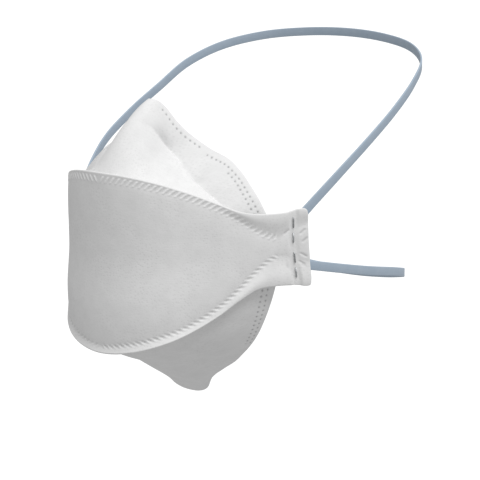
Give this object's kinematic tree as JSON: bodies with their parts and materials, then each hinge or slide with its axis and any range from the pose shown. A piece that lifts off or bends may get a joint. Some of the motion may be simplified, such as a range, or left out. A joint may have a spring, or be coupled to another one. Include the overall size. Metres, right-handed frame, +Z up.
{
  "type": "disposable respirator",
  "caption": "Three-panel flat-fold disposable respirator held open as worn, with welded seams, side tabs and two elastic headbands stapled on.",
  "frame": {"origin": "on the plane of symmetry in the middle of the face opening, level with the side tabs, where the mask sits on a face", "axes": "+X towards the wearer's left tab, +Y back into the face and head, +Z up; the front of the mask looks along -Y"},
  "size_m": [0.159, 0.2088, 0.1768],
  "materials": {
    "cover_cloth": "white spunbond nonwoven, matte, with fine fibre grain",
    "headband_elastic": "pale grey-blue flat elastic, matte",
    "staple_wire": "dull flat steel wire"
  },
  "bodies": {
    "root": {"centre_panel": "cover_cloth", "top_panel": "cover_cloth", "bottom_panel": "cover_cloth", "upper_headband": "headband_elastic", "lower_headband": "headband_elastic", "left_upper_staple": "staple_wire", "left_lower_staple": "staple_wire", "right_upper_staple": "staple_wire", "right_lower_staple": "staple_wire"}
  },
  "joints": []
}
